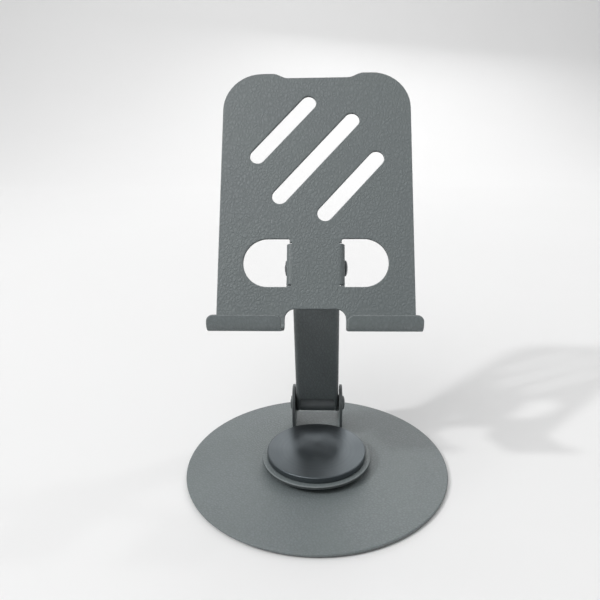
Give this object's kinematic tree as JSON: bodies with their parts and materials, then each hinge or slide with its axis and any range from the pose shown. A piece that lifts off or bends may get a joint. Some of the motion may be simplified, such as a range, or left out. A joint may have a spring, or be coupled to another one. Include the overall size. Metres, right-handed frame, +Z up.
{
  "type": "phone stand",
  "caption": "Folding phone stand: coated sheet-metal phone plate with two hooks, hinged channel arm and hinged bracket that swivels on a flat round base disc.",
  "frame": {"origin": "centre of the base pad's underside, on the swivel axis", "axes": "+Z up, along the swivel axis; front, where the phone faces, towards -Y; +X to the right seen from the front"},
  "size_m": [0.12, 0.12, 0.1742],
  "materials": {
    "coated_sheet": "fine leather-grain powder coat, dark green-grey, low sheen",
    "turned_cap": "dark anodised, face turned in fine concentric lines",
    "blackened_steel": "blackened, satin",
    "acetal": "black, matt",
    "spring_steel": "bright",
    "pad_rubber": "black, matt"
  },
  "bodies": {
    "base": {"base_pad": "pad_rubber", "base_plate": "coated_sheet", "pivot_bolt": "blackened_steel", "lower_thrust_washer": "acetal", "upper_thrust_washer": "acetal", "wave_spring_washer": "spring_steel", "hub_cap": "turned_cap"},
    "swivel": {"swivel_bracket": "coated_sheet", "lower_hinge_pin": "blackened_steel", "lower_pin_collar": "blackened_steel", "lower_friction_washer_left": "acetal", "lower_friction_washer_right": "acetal"},
    "arm": {"arm_channel": "coated_sheet", "lower_spacer_sleeve": "blackened_steel", "upper_spacer_sleeve": "blackened_steel"},
    "plate": {"phone_plate": "coated_sheet", "upper_hinge_pin": "blackened_steel", "upper_pin_collar": "blackened_steel", "upper_friction_washer_left": "acetal", "upper_friction_washer_right": "acetal"}
  },
  "joints": [
    {"name": "base_swivel", "type": "hinge", "parent": "base", "child": "swivel", "pos_m": [0, 0, 0.006], "axis": [0, 0, 1], "continuous": true},
    {"name": "arm_hinge", "type": "hinge", "parent": "swivel", "child": "arm", "pos_m": [0, 0.031, 0.0165], "axis": [1, 0, 0], "range_deg": [-20, 55]},
    {"name": "plate_hinge", "type": "hinge", "parent": "arm", "child": "plate", "pos_m": [0, 0.01319, 0.09244], "axis": [1, 0, 0], "range_deg": [-134, 42]}
  ]
}
